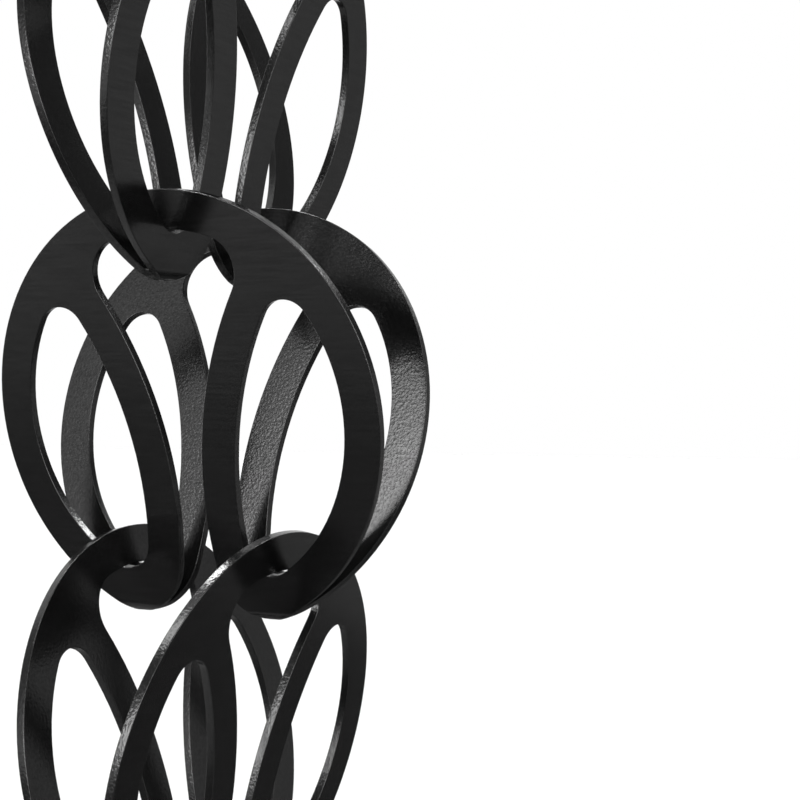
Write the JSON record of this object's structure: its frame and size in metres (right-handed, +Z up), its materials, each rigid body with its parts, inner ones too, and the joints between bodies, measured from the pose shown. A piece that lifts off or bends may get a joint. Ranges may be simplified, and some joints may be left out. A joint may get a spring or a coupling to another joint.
{
  "type": "rain chain",
  "caption": "Rain chain of folded black sheet-metal links: two pierced round plates in a V, hung by their top bars in the eyes of the link above and turned a quarter turn.",
  "frame": {"origin": "midway between the top link's two top bars, level with their undersides, where the chain is hung", "axes": "+Z up along the hanging chain, X along the top link's plates, Y square to them"},
  "size_m": [0.1, 0.1, 0.6896],
  "materials": {
    "powder_coat": "satin black powder coat"
  },
  "bodies": {
    "link_01": {"link_01": "powder_coat"},
    "link_02": {"link_02": "powder_coat"},
    "link_03": {"link_03": "powder_coat"},
    "link_04": {"link_04": "powder_coat"},
    "link_05": {"link_05": "powder_coat"},
    "link_06": {"link_06": "powder_coat"},
    "link_07": {"link_07": "powder_coat"},
    "link_08": {"link_08": "powder_coat"},
    "link_09": {"link_09": "powder_coat"}
  },
  "joints": [
    {"name": "link_02_swing", "type": "hinge", "parent": "link_01", "child": "link_02", "pos_m": [0, 0, -0.09193], "axis": [1, 0, 0], "range_deg": [-20, 20]},
    {"name": "link_03_swing", "type": "hinge", "parent": "link_02", "child": "link_03", "pos_m": [0, 0, -0.16637], "axis": [0, 1, 0], "range_deg": [-20, 20]},
    {"name": "link_04_swing", "type": "hinge", "parent": "link_03", "child": "link_04", "pos_m": [0, 0, -0.2408], "axis": [1, 0, 0], "range_deg": [-20, 20]},
    {"name": "link_05_swing", "type": "hinge", "parent": "link_04", "child": "link_05", "pos_m": [0, 0, -0.31523], "axis": [0, 1, 0], "range_deg": [-20, 20]},
    {"name": "link_06_swing", "type": "hinge", "parent": "link_05", "child": "link_06", "pos_m": [0, 0, -0.38967], "axis": [1, 0, 0], "range_deg": [-20, 20]},
    {"name": "link_07_swing", "type": "hinge", "parent": "link_06", "child": "link_07", "pos_m": [0, 0, -0.4641], "axis": [0, 1, 0], "range_deg": [-20, 20]},
    {"name": "link_08_swing", "type": "hinge", "parent": "link_07", "child": "link_08", "pos_m": [0, 0, -0.53853], "axis": [1, 0, 0], "range_deg": [-20, 20]},
    {"name": "link_09_swing", "type": "hinge", "parent": "link_08", "child": "link_09", "pos_m": [0, 0, -0.61297], "axis": [0, 1, 0], "range_deg": [-20, 20]}
  ]
}
